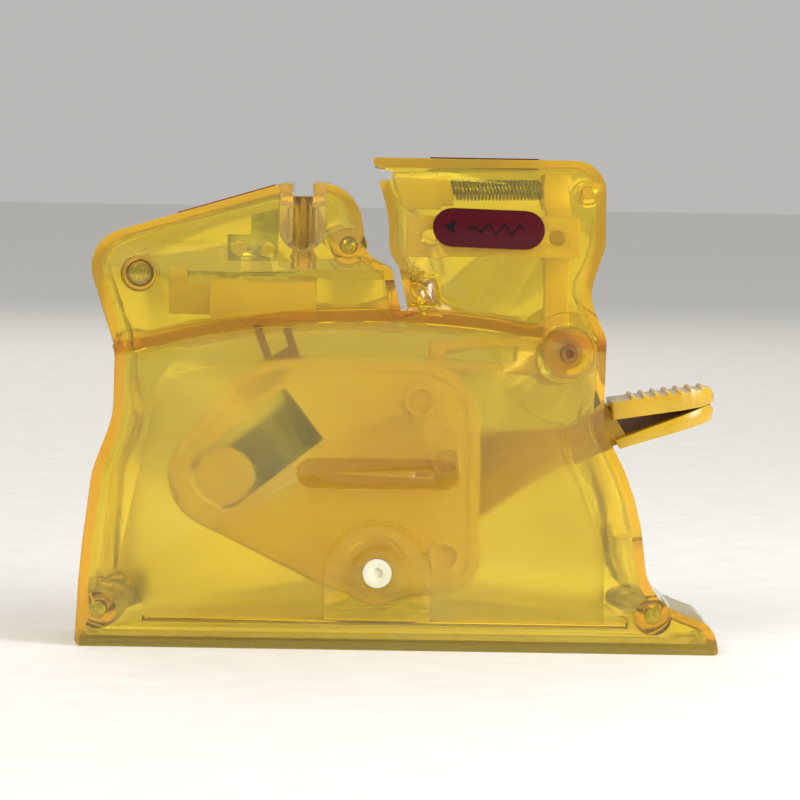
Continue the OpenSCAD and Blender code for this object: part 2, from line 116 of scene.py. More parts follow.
def bevelEdges(piece, edge, segments, wanted, sharp=25, clamp=True):
    # rounds the sharp edges that the test 'wanted' lets through
    mesh = piece.data
    pickOnly(piece)
    meets = wallFaces(mesh)
    for items in (mesh.edges, mesh.vertices, mesh.polygons):
        for item in items:
            item.select = False
    count = 0
    for item in mesh.edges:
        faces = meets.get(item.key, [])
        if len(faces) != 2:
            continue
        first, second = mesh.polygons[faces[0]], mesh.polygons[faces[1]]
        if first.normal.angle(second.normal, 0) < math.radians(sharp):
            continue
        if wanted(mesh, item, first, second):
            item.select = True
            count += 1
    if count:
        bpy.ops.object.mode_set(mode='EDIT')
        bpy.ops.mesh.select_mode(type='EDGE')
        bpy.ops.mesh.bevel(offset=edge * mm, segments=segments, profile=0.5, clamp_overlap=clamp)
        bpy.ops.mesh.select_all(action='DESELECT')
        bpy.ops.object.mode_set(mode='OBJECT')
    return count


def smoothByAngle(piece, degrees=32):
    pickOnly(piece)
    bpy.ops.object.shade_smooth_by_angle(angle=math.radians(degrees))
    bpy.ops.object.select_all(action='DESELECT')


def roundedCopy(nodeName, pieceName, edge, segments=2, sharp=28):
    piece = mergeCopy(nodeName, pieceName)
    pickOnly(piece)
    bevel = piece.modifiers.new("roundedEdges", 'BEVEL')
    bevel.width = edge * mm
    bevel.segments = segments
    bevel.limit_method = 'ANGLE'
    bevel.angle_limit = math.radians(sharp)
    bevel.use_clamp_overlap = True
    bpy.ops.object.modifier_apply(modifier=bevel.name)
    smoothByAngle(piece)
    return piece


def plateRim(mesh, item, first, second):
    # an outward corner between a front or back face and the wall round it
    flat = [f for f in (first, second) if abs(f.normal.y) > flatFacing]
    wall = [f for f in (first, second) if abs(f.normal.y) < wallFacing]
    if len(flat) != 1 or len(wall) != 1 or faceReach(mesh, wall[0], 1) < thinnestRim * mm:
        return False
    middle = (mesh.vertices[item.vertices[0]].co + mesh.vertices[item.vertices[1]].co) / 2
    if middle.x > padStart * mm:
        return False          # the thumb pad has finer edges of its own
    return (wall[0].center - middle).y * flat[0].normal.y < 0


def finishPiece(piece, body, slotName, material, *nodes):
    piece.data.materials.clear()
    piece.data.materials.append(material)
    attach(piece, body)
    if nodes:
        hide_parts(*nodes)
    return piece


def placeInMesh(piece):
    # the object ends at the origin, unturned and unscaled, with its place in its mesh
    pickOnly(piece)
    bpy.ops.object.transform_apply(location=True, rotation=True, scale=True)
    return piece


def joinPieces(pieces, name):
    pickOnly(pieces[0])
    for other in pieces[1:]:
        other.select_set(True)
    bpy.ops.object.join()
    joined = bpy.context.active_object
    joined.name = name
    joined.data.name = name
    return joined


# ---------- materials ----------

def hexColour(code):
    # sRGB hex to the linear values that the shader wants
    parts = [int(code[i:i + 2], 16) / 255 for i in (1, 3, 5)]
    linear = [p / 12.92 if p <= 0.04045 else ((p + 0.055) / 1.055) ** 2.4 for p in parts]
    return (*linear, 1.0)


def addNode(tree, kind, place, settings=None, links=None):
    node = tree.nodes.new(kind)
    node.location = place
    for key, value in (settings or {}).items():
        if isinstance(key, int) or key in node.inputs:
            node.inputs[key].default_value = value
        else:
            setattr(node, key, value)
    for key, source in (links or {}).items():
        tree.links.new(source, node.inputs[key])
    return node


def perMetre(size):
    # a noise or Voronoi scale whose cells are 'size' millimetres across
    return 1 / (size * mm)


def startMaterial(name):
    material = bpy.data.materials.new(name)
    material.use_nodes = True
    tree = material.node_tree
    tree.nodes.clear()
    output = addNode(tree, 'ShaderNodeOutputMaterial', (900, 0))
    where = addNode(tree, 'ShaderNodeTexCoord', (-1200, 0)).outputs['Object']
    return material, tree, output, where


def ramp(tree, place, source, stops):
    node = addNode(tree, 'ShaderNodeValToRGB', place, {}, {'Fac': source})
    while len(node.color_ramp.elements) < len(stops):
        node.color_ramp.elements.new(0.5)
    for element, (position, colour) in zip(node.color_ramp.elements, stops):
        element.position = position
        element.color = colour
    return node


def grey(value):
    return (value, value, value, 1.0)


def glossRange(tree, place, rough, source, low=0.3):
    # a noise turned into a roughness that wanders between two values
    return addNode(tree, 'ShaderNodeMapRange', place,
                   {'From Min': low, 'From Max': 0.7, 'To Min': rough[0], 'To Max': rough[1]},
                   {'Value': source})


def paintShade(tree, place, mask, colour, code):
    # paints shade: multiplies the colour by a darker tint where the mask is 1
    return addNode(tree, 'ShaderNodeMix', place,
                   {'data_type': 'RGBA', 'blend_type': 'MULTIPLY', 7: hexColour(code)},
                   {0: mask, 6: colour}).outputs[2]


def mouldedPlastic(look):
    # an injection-moulded plastic: slow colour drift from the melt, a fine tool texture
    # and a gloss that wanders
    material, tree, output, where = startMaterial(look["name"])
    drift = addNode(tree, 'ShaderNodeTexNoise', (-900, 250),
                    {'Scale': perMetre(look["driftSize"]), 'Detail': 3.0, 'Roughness': 0.55},
                    {'Vector': where})
    tint = ramp(tree, (-650, 250), drift.outputs['Fac'],
                [(0.30, hexColour(look["dark"])), (0.52, hexColour(look["main"])),
                 (0.75, hexColour(look["light"]))])
    tool = addNode(tree, 'ShaderNodeTexNoise', (-900, -50),
                   {'Scale': perMetre(look["toolSize"]), 'Detail': look.get("toolDetail", 5.0),
                    'Roughness': 0.6}, {'Vector': where})
    gloss = glossRange(tree, (-400, 0), look["rough"], tool.outputs['Fac'])
    specks = addNode(tree, 'ShaderNodeTexVoronoi', (-900, -350),
                     {'Scale': perMetre(look["speckSize"]), 'Randomness': 1.0}, {'Vector': where})
    speckMask = ramp(tree, (-650, -350), specks.outputs['Distance'], [(0.0, grey(1)), (0.09, grey(0))])
    height = addNode(tree, 'ShaderNodeMath', (-400, -250),
                     {'operation': 'MULTIPLY_ADD', 1: look["speckDepth"]},
                     {0: speckMask.outputs['Color'], 2: tool.outputs['Fac']})
    bump = addNode(tree, 'ShaderNodeBump', (-150, -250),
                   {'Strength': look["bump"], 'Distance': look["bumpDepth"] * mm},
                   {'Height': height.outputs[0]})
    rough = gloss.outputs['Result']
    colour = tint.outputs['Color']
    apart = addNode(tree, 'ShaderNodeSeparateXYZ', (-900, 550), {}, {'Vector': where})
    if "step" in look:
        # painted shade: the curved step's wall is the thickest and seen edge on, so its band is painted a
        # deeper amber
        step = look["step"]
        fromCentre = addNode(tree, 'ShaderNodeVectorMath', (-900, 1600), {
            'operation': 'SUBTRACT', 1: (step["centre"][0] * mm, 0, step["centre"][1] * mm)}, {0: where})
        flat = addNode(tree, 'ShaderNodeVectorMath', (-750, 1600),
                       {'operation': 'MULTIPLY', 1: (1, 0, 1)}, {0: fromCentre.outputs[0]})
        reach = addNode(tree, 'ShaderNodeVectorMath', (-600, 1600),
                        {'operation': 'LENGTH'}, {0: flat.outputs[0]})
        inStep = addNode(tree, 'ShaderNodeMath', (-450, 1600),
                         {'operation': 'COMPARE', 1: step["radius"] * mm, 2: step["half"] * mm},
                         {0: reach.outputs['Value']})
        colour = paintShade(tree, (-250, 1600), inStep.outputs[0], colour, step["tint"])
    # painted shade: each sunk level is tinted darker
    for row, (plane, half, shadeTint) in enumerate(look.get("depths", [])):
        onLevel = addNode(tree, 'ShaderNodeMath', (-650, 1050 + 150 * row),
                          {'operation': 'COMPARE', 1: plane * mm, 2: half * mm}, {0: apart.outputs['Y']})
        colour = paintShade(tree, (-300, 900 + 150 * row), onLevel.outputs[0], colour, shadeTint)
    if "hollow" in look:
        # painted shade: the thin web inside the thumb pad takes little light, so it is painted brown
        hollow = look["hollow"]
        inWeb = addNode(tree, 'ShaderNodeMath', (-650, 1250),
                        {'operation': 'COMPARE', 1: 0.0, 2: hollow["half"] * mm}, {0: apart.outputs['Y']})
        pastWall = addNode(tree, 'ShaderNodeMath', (-650, 1450),
                           {'operation': 'GREATER_THAN', 1: hollow["from"] * mm}, {0: apart.outputs['X']})
        facing = addNode(tree, 'ShaderNodeNewGeometry', (-1200, 1650))
        turned = addNode(tree, 'ShaderNodeSeparateXYZ', (-1000, 1650), {},
                         {'Vector': facing.outputs['True Normal']})
        sideways = addNode(tree, 'ShaderNodeMath', (-850, 1650),
                           {'operation': 'ABSOLUTE'}, {0: turned.outputs['Y']})
        onSide = addNode(tree, 'ShaderNodeMath', (-700, 1650),
                         {'operation': 'GREATER_THAN', 1: hollow["facing"]}, {0: sideways.outputs[0]})
        inPlace = addNode(tree, 'ShaderNodeMath', (-500, 1450), {'operation': 'MULTIPLY'},
                          {0: pastWall.outputs[0], 1: onSide.outputs[0]})
        both = addNode(tree, 'ShaderNodeMath', (-450, 1350), {'operation': 'MULTIPLY'},
                       {0: inWeb.outputs[0], 1: inPlace.outputs[0]})
        colour = paintShade(tree, (-250, 1250), both.outputs[0], colour, hollow["tint"])
    if "frost" in look:
        # the frosted face scatters more, and the polish's small waves are left off it
        frost = look["frost"]
        onPlane = addNode(tree, 'ShaderNodeMath', (-650, 550),
                          {'operation': 'COMPARE', 1: frost["plane"] * mm, 2: frost["half"] * mm},
                          {0: apart.outputs['Y']})
        grain = addNode(tree, 'ShaderNodeTexNoise', (-900, 800),
                        {'Scale': perMetre(frost["grain"]), 'Detail': 3.0}, {'Vector': where})
        haze = addNode(tree, 'ShaderNodeMath', (-650, 800),
                       {'operation': 'MULTIPLY_ADD', 1: frost["wander"], 2: frost["rough"]},
                       {0: grain.outputs['Fac']})
        rough = addNode(tree, 'ShaderNodeMath', (0, 600), {'operation': 'MULTIPLY_ADD'},
                        {0: onPlane.outputs[0], 1: haze.outputs[0], 2: rough}).outputs[0]
        calm = addNode(tree, 'ShaderNodeMath', (-300, -450), {'operation': 'MULTIPLY_ADD', 1: -1.0, 2: 1.0},
                       {0: onPlane.outputs[0]})
        evened = addNode(tree, 'ShaderNodeMath', (-300, -600), {'operation': 'MULTIPLY'},
                         {0: height.outputs[0], 1: calm.outputs[0]})
        tree.links.new(evened.outputs[0], bump.inputs['Height'])
    shader = addNode(tree, 'ShaderNodeBsdfPrincipled', (300, 0), look["shader"],
                     {'Base Color': colour, 'Roughness': rough,
                      'Normal': bump.outputs['Normal']})
    tree.links.new(shader.outputs['BSDF'], output.inputs['Surface'])
    if "inside" in look:
        # light that goes through a thick wall comes out deeper in colour
        depth = addNode(tree, 'ShaderNodeVolumeAbsorption', (600, -300),
                        {'Color': hexColour(look["inside"][0]), 'Density': look["inside"][1]})
        tree.links.new(depth.outputs['Volume'], output.inputs['Volume'])
    return material


def drawnSteel(look):
    # cold-drawn or rolled steel: fine lines along one direction, dull oil in places
    material, tree, output, where = startMaterial(look["name"])
    stretched = addNode(tree, 'ShaderNodeMapping', (-1000, 0), {'Scale': look["stretch"]}, {'Vector': where})
    lines = addNode(tree, 'ShaderNodeTexNoise', (-800, 0),
                    {'Scale': perMetre(look["lineSize"]), 'Detail': 4.0, 'Roughness': 0.65},
                    {'Vector': stretched.outputs['Vector']})
    oil = addNode(tree, 'ShaderNodeTexNoise', (-800, 300),
                  {'Scale': perMetre(look["oilSize"]), 'Detail': 2.0}, {'Vector': where})
    tint = ramp(tree, (-550, 300), oil.outputs['Fac'],
                [(0.35, hexColour(look["dark"])), (0.65, hexColour(look["light"]))])
    gloss = glossRange(tree, (-300, 0), look["rough"], lines.outputs['Fac'])
    bump = addNode(tree, 'ShaderNodeBump', (-300, -250),
                   {'Strength': look["bump"], 'Distance': 0.02 * mm}, {'Height': lines.outputs['Fac']})
    shader = addNode(tree, 'ShaderNodeBsdfPrincipled', (300, 0), {'Metallic': 1.0},
                     {'Base Color': tint.outputs['Color'], 'Roughness': gloss.outputs['Result'],
                      'Normal': bump.outputs['Normal']})
    tree.links.new(shader.outputs['BSDF'], output.inputs['Surface'])
    return material


def printedFilm(look):
    # screen-printed ink under a clear coat: a faint mesh in the ink and dust in the coat
    material, tree, output, where = startMaterial(look["name"])
    mesh = addNode(tree, 'ShaderNodeTexVoronoi', (-900, 100),
                   {'Scale': perMetre(look["meshSize"]), 'Randomness': 0.15}, {'Vector': where})
    tint = ramp(tree, (-650, 100), mesh.outputs['Distance'],
                [(0.2, hexColour(look["light"])), (0.7, hexColour(look["dark"]))])
    dust = addNode(tree, 'ShaderNodeTexNoise', (-900, -200),
                   {'Scale': perMetre(1.5), 'Detail': 6.0, 'Roughness': 0.7}, {'Vector': where})
    gloss = glossRange(tree, (-400, -100), look["rough"], dust.outputs['Fac'], 0.35)
    bump = addNode(tree, 'ShaderNodeBump', (-400, -350),
                   {'Strength': 0.15, 'Distance': 0.01 * mm}, {'Height': mesh.outputs['Distance']})
    shader = addNode(tree, 'ShaderNodeBsdfPrincipled', (300, 0),
                     {'IOR': 1.45, 'Specular IOR Level': 0.25},
                     {'Base Color': tint.outputs['Color'], 'Roughness': gloss.outputs['Result'],
                      'Normal': bump.outputs['Normal']})
    tree.links.new(shader.outputs['BSDF'], output.inputs['Surface'])
    return material


# clear polystyrene tinted amber, moulded in a polished tool: glassy, with deep amber where it is thick;
# the front's sunk panel has the fine frost of a spark-eroded tool, which blurs the mechanism behind it
panelSink = 0.65        # mm from the front face to the sunk panel
emblemSink = 0.45       # mm from the panel to the emblem's floor
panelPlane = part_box("front_shell")[0].y / mm + panelSink
recessPlane = panelPlane + emblemSink
amberStyrene = mouldedPlastic({
    "name": "amberPolystyreneMoulded", "dark": "#FDEA80", "main": "#FEEF90", "light": "#FEF3A0",
    "driftSize": 16, "toolSize": 1.6, "speckSize": 2.4, "speckDepth": 0.04, "rough": (0.05, 0.13),
    "bump": 0.03, "bumpDepth": 0.02, "inside": ("#FFFA2A", 600.0),
    "toolDetail": 1.5,
    "frost": {"plane": panelPlane, "half": 0.04, "grain": 0.5, "wander": 0.04, "rough": 0.22},
    # painted shade: a deeper amber band along the curved step
    "step": {"centre": (-3.0, -67.75), "radius": 108.35, "half": 0.7, "tint": "#EED8A6"},
    # depth, half its band and tint, all painted shade: the emblem's sunk floor is painted a little darker,
    # and the low walls round the sunk fields are painted as a thin dark amber line
    "depths": [(recessPlane, 0.04, "#E6D6A4"), (panelPlane - 0.12, 0.10, "#A87018")],
    "shader": {'IOR': 1.49, 'Transmission Weight': 0.95, 'Specular IOR Level': 0.5}})

# tinted polycarbonate, the lever: see-through enough to glow at its edges, satin on top
padInset = 13           # mm from the case's right end to where the pad begins
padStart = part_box("front_shell")[1].x / mm - padInset
leverPolycarbonate = mouldedPlastic({
    "name": "amberPolycarbonateSatin", "dark": "#B08A0A", "main": "#BE9A10", "light": "#CBAA22",
    "driftSize": 14, "toolSize": 0.8, "speckSize": 1.8, "speckDepth": 0.4, "rough": (0.22, 0.34),
    "bump": 0.08, "bumpDepth": 0.04,
    # painted shade: the brown tint on the pad's inner web
    "hollow": {"half": 1.1, "from": padStart, "facing": 0.9, "tint": "#9A7428"},
    "shader": {'IOR': 1.58, 'Subsurface Weight': 0.35, 'Subsurface Radius': (0.9, 0.55, 0.1),
               'Subsurface Scale': 1.6 * mm}})

# yellow acetal, the inner mouldings: waxy and slightly milky
yellowAcetal = mouldedPlastic({
    "name": "yellowAcetalMoulded", "dark": "#E6CE30", "main": "#F0DE42", "light": "#F6E858",
    "driftSize": 18, "toolSize": 0.9, "speckSize": 2.0, "speckDepth": 0.3, "rough": (0.30, 0.42),
    "bump": 0.07, "bumpDepth": 0.04,
    "shader": {'IOR': 1.48, 'Subsurface Weight': 0.25, 'Subsurface Radius': (0.9, 0.6, 0.15),
               'Subsurface Scale': 1.2 * mm}})

# pale acetal, the hook's slide and guide and the clamp
paleAcetal = mouldedPlastic({
    "name": "paleAcetalMoulded", "dark": "#E6D45C", "main": "#EEDE70", "light": "#F4E88C",
    "driftSize": 12, "toolSize": 0.8, "speckSize": 1.6, "speckDepth": 0.3, "rough": (0.30, 0.42),
    "bump": 0.07, "bumpDepth": 0.03,
    "shader": {'IOR': 1.48, 'Subsurface Weight': 0.3, 'Subsurface Radius': (0.9, 0.8, 0.5),
               'Subsurface Scale': 1.0 * mm}})

# natural acetal rod, turned: cream, with faint turning rings left by the tool
creamAcetal = mouldedPlastic({
    "name": "creamAcetalTurned", "dark": "#D2CFB2", "main": "#DCDAC2", "light": "#E4E2CE",
    "driftSize": 3, "toolSize": 0.3, "speckSize": 1.1, "speckDepth": 0.3, "rough": (0.32, 0.46),
    "bump": 0.10, "bumpDepth": 0.03,
    "shader": {'IOR': 1.48, 'Subsurface Weight': 0.4, 'Subsurface Radius': (0.9, 0.85, 0.7),
               'Subsurface Scale': 1.0 * mm}})

# brown acetal, the bracket's pin
brownAcetal = mouldedPlastic({
    "name": "brownAcetalMoulded", "dark": "#6E4A18", "main": "#835A20", "light": "#966B2C",
    "driftSize": 3, "toolSize": 0.4, "speckSize": 1.2, "speckDepth": 0.3, "rough": (0.28, 0.42),
    "bump": 0.08, "bumpDepth": 0.03,
    "shader": {'IOR': 1.48}})

# smoky clear polycarbonate, the needle funnel
smokyPolycarbonate = mouldedPlastic({
    "name": "smokyPolycarbonateClear", "dark": "#F0D878", "main": "#F4E08C", "light": "#F7E8A4",
    "driftSize": 6, "toolSize": 0.9, "speckSize": 1.8, "speckDepth": 0.4, "rough": (0.06, 0.15),
    "bump": 0.05, "bumpDepth": 0.03, "inside": ("#F2DE6A", 260.0),
    "shader": {'IOR': 1.58, 'Transmission Weight': 0.85}})

# oiled music wire, the strong return spring: nearly black in the gaps, warm on the crowns
oiledSpringWire = drawnSteel({
    "name": "oiledMusicWire", "dark": "#17140F", "light": "#342E24", "oilSize": 1.6,
    "stretch": (1.0, 1.0, 1.0), "lineSize": 0.12, "rough": (0.30, 0.46), "bump": 0.25})

# bright stainless wire, the clamp's spring
brightSpringWire = drawnSteel({
    "name": "brightStainlessWire", "dark": "#6E6A5C", "light": "#A8A494", "oilSize": 1.2,
    "stretch": (1.0, 1.0, 1.0), "lineSize": 0.10, "rough": (0.20, 0.34), "bump": 0.2})

# cold-rolled sheet, stamped: rolling lines along X
rolledSheet = drawnSteel({
    "name": "stampedSteelSheet", "dark": "#9AA2A8", "light": "#C3CACF", "oilSize": 2.5,
    "stretch": (0.08, 1.0, 1.0), "lineSize": 0.10, "rough": (0.24, 0.38), "bump": 0.3})

# photo-etched stainless, the hook
etchedStainless = drawnSteel({
    "name": "etchedStainlessHook", "dark": "#B8BABD", "light": "#DADBDD", "oilSize": 1.5,
    "stretch": (0.1, 1.0, 1.0), "lineSize": 0.08, "rough": (0.14, 0.26), "bump": 0.15})

# ground razor steel, the cutter
razorSteel = drawnSteel({
    "name": "groundRazorSteel", "dark": "#C9CCD0", "light": "#EEF0F2", "oilSize": 1.5,
    "stretch": (1.0, 0.1, 1.0), "lineSize": 0.08, "rough": (0.08, 0.18), "bump": 0.15})

# zinc-plated screws
zincPlate = drawnSteel({
    "name": "zincPlatedScrew", "dark": "#A7A9AC", "light": "#D2D4D6", "oilSize": 0.9,
    "stretch": (1.0, 1.0, 1.0), "lineSize": 0.15, "rough": (0.20, 0.34), "bump": 0.2})

# maroon and red inks, and the black marks printed over them
maroonInk = printedFilm({"name": "maroonScreenPrint", "dark": "#40000C", "light": "#4C0010",
                         "meshSize": 0.25, "rough": (0.22, 0.38)})
redInk = printedFilm({"name": "redScreenPrint", "dark": "#84141A", "light": "#921C22",
                      "meshSize": 0.25, "rough": (0.24, 0.40)})
blackInk = printedFilm({"name": "blackScreenPrint", "dark": "#080203", "light": "#120507",
                        "meshSize": 0.25, "rough": (0.30, 0.46)})
print("materials made:", len(bpy.data.materials))


# ---------- case ----------

case = {"rimRadius": 0.55, "detailRadius": 0.12, "partingGap": 0.02,
        "rimDepth": 3, "rimWall": 1.6,          # a rim lies this deep, on a wall at least this wide
        "footGap": 0.2, "partingKeep": 0.5,     # edges this near the table or the parting stay sharp
        "shortest": 0.12, "smallest": 0.05,     # edge length and face area that a bevel needs
        "pocket": (0.85, 41.45, 4.8, 45.6)}     # x and z of two corners: the pocket by the slit stays crisp


def inPocket(ends):
    left, low, right, high = [value * mm for value in case["pocket"]]
    return any(left < p.x < right and low < p.z < high for p in ends)


def roundCase(piece, side):
    # side is -1 for the front half and 1 for the back
    def deepRim(mesh, item, first, second):
        ends = [mesh.vertices[i].co for i in item.vertices]
        if any(abs(p.y) < case["rimDepth"] * mm for p in ends) or inPocket(ends):
            return False
        flat = [f for f in (first, second) if f.normal.y * side > flatFacing]
        wall = [f for f in (first, second) if abs(f.normal.y) < wallFacing]
        if len(flat) != 1 or len(wall) != 1:
            return False
        # only outward corners: the wall turns away from the flat face
        toWall = wall[0].center - flat[0].center
        if toWall.y * side > -1e-7:
            return False
        lowest = min(p.z for p in ends)
        return faceReach(mesh, wall[0], 1) > case["rimWall"] * mm and lowest > case["footGap"] * mm
    rims = bevelEdges(piece, case["rimRadius"], 4, deepRim, 30)

    def fineEdge(mesh, item, first, second):
        ends = [mesh.vertices[i].co for i in item.vertices]
        if any(abs(p.y) < case["partingKeep"] * mm for p in ends) or inPocket(ends):
            return False
        return (ends[0] - ends[1]).length > case["shortest"] * mm \
            and min(first.area, second.area) > case["smallest"] * mm * mm
    fine = bevelEdges(piece, case["detailRadius"], 2, fineEdge, 50)
    print(piece.name, "rounded", rims, "rim edges and", fine, "fine ones")


def openParting(piece, side):
    # a hair of air at the parting line, as two mouldings have
    for vertex in piece.data.vertices:
        if abs(vertex.co.y) < 0.002 * mm:
            vertex.co.y = side * case["partingGap"] * mm


for nodeName, pieceName, side in (("front_shell", "frontCase", -1), ("rear_shell", "rearCase", 1)):
    shell = mergeCopy(nodeName, pieceName)
    openParting(shell, side)
    roundCase(shell, side)
    smoothByAngle(shell)
    finishPiece(shell, "case", "amber_shell", amberStyrene, nodeName)
print("case done")


# ---------- inner mouldings and small metal parts, each with its edges broken ----------

padEdge = 0.12          # mm of bevel on the pad's ribs

# CAD node, piece, bevel in mm, body, slot, material
softened = [
    ("mechanism_plate", "mechanismPlate", 0.22, "case", "mechanism_yellow", yellowAcetal),
    ("lever", "pressLever", 0.28, "lever", "lever_yellow", leverPolycarbonate),
    ("spring_seat", "springSeat", 0.15, "lever", "mechanism_yellow", yellowAcetal),
    ("hook_slide", "hookSlide", 0.12, "hook_slide", "pale_acetal", paleAcetal),
    ("threading_hook", "threadingHook", 0.03, "hook_slide", "hook_steel", etchedStainless),
    ("hook_guide", "hookGuide", 0.12, "case", "pale_acetal", paleAcetal),
    ("needle_tube", "needleFunnel", 0.10, "case", "funnel_grey", smokyPolycarbonate),
    ("needle_guide_plate", "needleGuide", 0.06, "case", "sheet_steel", rolledSheet),
    ("head_frame", "headFrame", 0.15, "case", "mechanism_yellow", yellowAcetal),
    ("head_bracket", "headBracket", 0.20, "case", "mechanism_yellow", yellowAcetal),
    ("thread_clamp", "threadClamp", 0.15, "thread_clamp", "pale_acetal", paleAcetal),
    ("cutter_blade", "cutterBlade", 0.02, "case", "blade_steel", razorSteel),
    ("main_pivot", "pivotPin", 0.20, "case", "cream_acetal", creamAcetal),
    ("bracket_pin", "bracketPin", 0.12, "case", "brown_pin", brownAcetal),
    ("screw_nose_left", "screwNoseLeft", 0.10, "case", "screw_steel", zincPlate),
    ("screw_nose_right", "screwNoseRight", 0.10, "case", "screw_steel", zincPlate),
    ("screw_foot_left", "screwFootLeft", 0.10, "case", "screw_steel", zincPlate),
    ("screw_foot_right", "screwFootRight", 0.10, "case", "screw_steel", zincPlate),
]
for nodeName, pieceName, edge, body, slotName, material in softened:
    if nodeName in ("mechanism_plate", "lever"):
        # too many small edges for one bevel, so only the rims are rounded
        piece = mergeCopy(nodeName, pieceName)
        print(pieceName, "rounded", bevelEdges(piece, edge, 3, plateRim, 40, False), "rim edges")
        if nodeName == "lever":
            bevelEdges(piece, padEdge, 2, lambda mesh, item, first, second: all(
                mesh.vertices[i].co.x > padStart * mm for i in item.vertices), 40)
        smoothByAngle(piece)
    else:
        piece = roundedCopy(nodeName, pieceName, edge)
    finishPiece(piece, body, slotName, material, nodeName)
print("inner pieces done:", len(softened))


# ---------- springs: a wire's circle swept round by the Screw modifier ----------

returnSpring = {"radius": 3.7, "wire": 0.55, "turns": 13, "tilt": 37.8, "ends": (-7.08, 4.63), "offset": 21,
                "pivot": (-2.5, 9.3)}
clampSpring = {"radius": 1.5, "wire": 0.35, "turns": 24, "ends": (6.12, 17.28), "height": 55.7}
wireSides = 10          # corners of the wire's section
turnSteps = 28          # sections in one turn


def woundSpring(name, radius, wire, turns, length):
    # stands on the origin along Z
    bpy.ops.mesh.primitive_circle_add(vertices=wireSides, radius=wire / 2 * mm, fill_type='NOTHING',
                                      location=(0, 0, 0), rotation=(math.pi / 2, 0, 0))
    wireRing = bpy.context.active_object
    wireRing.name = name
    wireRing.data.name = name
    placeInMesh(wireRing)
    openAll()
    bpy.ops.transform.translate(value=((radius - wire / 2) * mm, 0, wire / 2 * mm))
    bpy.ops.object.mode_set(mode='OBJECT')
    screw = wireRing.modifiers.new("winding", 'SCREW')
    screw.axis = 'Z'
    screw.angle = math.radians(360)
    screw.iterations = turns
    screw.screw_offset = (length - wire) / turns * mm
    screw.steps = turnSteps
    screw.render_steps = turnSteps
    screw.use_merge_vertices = False
    bpy.ops.object.modifier_apply(modifier=screw.name)
    openAll()
    bpy.ops.mesh.remove_doubles(threshold=0.001 * mm)
    bpy.ops.mesh.fill_holes(sides=0)
    bpy.ops.mesh.normals_make_consistent(inside=False)
    bpy.ops.object.mode_set(mode='OBJECT')
    return wireRing


spring = woundSpring("returnSpring", returnSpring["radius"], returnSpring["wire"], returnSpring["turns"],
                     returnSpring["ends"][1] - returnSpring["ends"][0])
along = math.radians(returnSpring["tilt"])
axis = Vector((math.cos(along), 0, math.sin(along)))
outwards = Vector((-math.sin(along), 0, math.cos(along)))
pivot = Vector((returnSpring["pivot"][0], 0, returnSpring["pivot"][1]))
tangentPoint = pivot + outwards * returnSpring["offset"]
foot = tangentPoint + axis * returnSpring["ends"][0]
spring.matrix_world = Matrix.Translation(foot * mm) @ axis.to_track_quat('Z', 'Y').to_matrix().to_4x4()
placeInMesh(spring)
smoothByAngle(spring, 60)
finishPiece(spring, "case", "spring_steel_dark", oiledSpringWire, "return_spring")
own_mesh(spring)

wire = woundSpring("clampSpring", clampSpring["radius"], clampSpring["wire"], clampSpring["turns"],
                   clampSpring["ends"][1] - clampSpring["ends"][0])
wire.matrix_world = Matrix.Translation(Vector((clampSpring["ends"][0], 0, clampSpring["height"])) * mm) \
    @ Vector((1, 0, 0)).to_track_quat('Z', 'Y').to_matrix().to_4x4()
placeInMesh(wire)
smoothByAngle(wire, 60)
finishPiece(wire, "case", "spring_steel_bright", brightSpringWire, "clamp_spring")
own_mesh(wire)
print("springs done")


# ---------- labels ----------

for nodeName, pieceName, body, slotName, material in [
        ("head_label", "headLabel", "case", "maroon_print", maroonInk),
        ("nose_label", "noseLabel", "case", "red_print", redInk),
        ("top_label", "topLabel", "case", "maroon_print", maroonInk)]:
    piece = roundedCopy(nodeName, pieceName, 0.04)
    finishPiece(piece, body, slotName, material, nodeName)


# the label's marks: an arrow head to the slit and a thread that runs to it, in raised black ink
labelMark = {"arrow": (5.75, 51.3), "arrowRadius": 0.93, "arrowCorner": 0.10, "thread": (7.9, 14.6),
             "steps": 56, "wave": 0.55, "turns": 3.5, "width": 0.34, "ink": 0.03, "tilt": 1.5}
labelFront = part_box("head_label")[0].y
labelMiddle = (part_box("head_label")[0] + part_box("head_label")[1]) / 2


def inkThickness(piece):
    # raises flat ink off the label towards the front
    pickOnly(piece)
    solid = piece.modifiers.new("inkThickness", 'SOLIDIFY')
    solid.thickness = labelMark["ink"] * mm
    solid.offset = 0
    bpy.ops.object.modifier_apply(modifier=solid.name)
    openAll()
    bpy.ops.mesh.normals_make_consistent(inside=False)
    bpy.ops.object.mode_set(mode='OBJECT')


bpy.ops.object.select_all(action='DESELECT')
arrowX, arrowZ = labelMark["arrow"]
bpy.ops.mesh.primitive_circle_add(vertices=3, radius=labelMark["arrowRadius"] * mm, fill_type='NGON',
                                  location=(arrowX * mm, labelFront, arrowZ * mm),
                                  rotation=(math.pi / 2, 0, 0))
arrow = bpy.context.active_object
arrow.rotation_euler = (Matrix.Rotation(-math.pi / 2, 3, 'Y')
                        @ Matrix.Rotation(math.pi / 2, 3, 'X')).to_euler()
placeInMesh(arrow)
openAll()
bpy.ops.mesh.bevel(offset=labelMark["arrowCorner"] * mm, segments=3, affect='VERTICES')
bpy.ops.object.mode_set(mode='OBJECT')
inkThickness(arrow)

